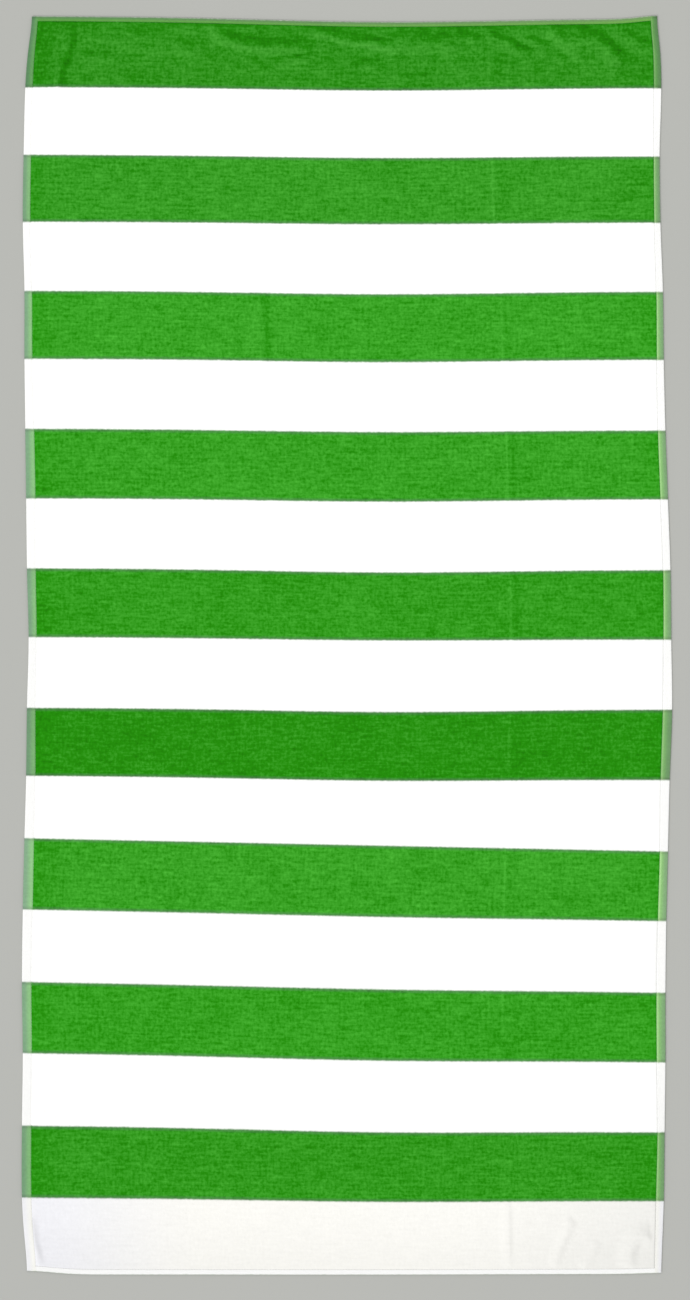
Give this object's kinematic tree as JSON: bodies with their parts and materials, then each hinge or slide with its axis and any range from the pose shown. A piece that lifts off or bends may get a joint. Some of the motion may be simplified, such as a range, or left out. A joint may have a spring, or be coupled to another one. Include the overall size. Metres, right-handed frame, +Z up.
{
  "type": "beach towel",
  "caption": "Long flat terry beach towel with printed green and white cross stripes and a narrow stitched hem on every side, laid out face up.",
  "frame": {"origin": "under the middle of the towel's box, on the surface that it lies on", "axes": "+X to the towel's right, along the stripes; +Y along its length to the top hem, where the first green stripe is; +Z up, out of the pile side"},
  "size_m": [0.7804, 1.5104, 0.0066],
  "materials": {
    "cotton_terry": "cotton terry, sheared to a matte velour on the face, printed in green and white cross stripes, with flat-woven hems"
  },
  "bodies": {
    "root": {"towel": "cotton_terry"}
  },
  "joints": []
}
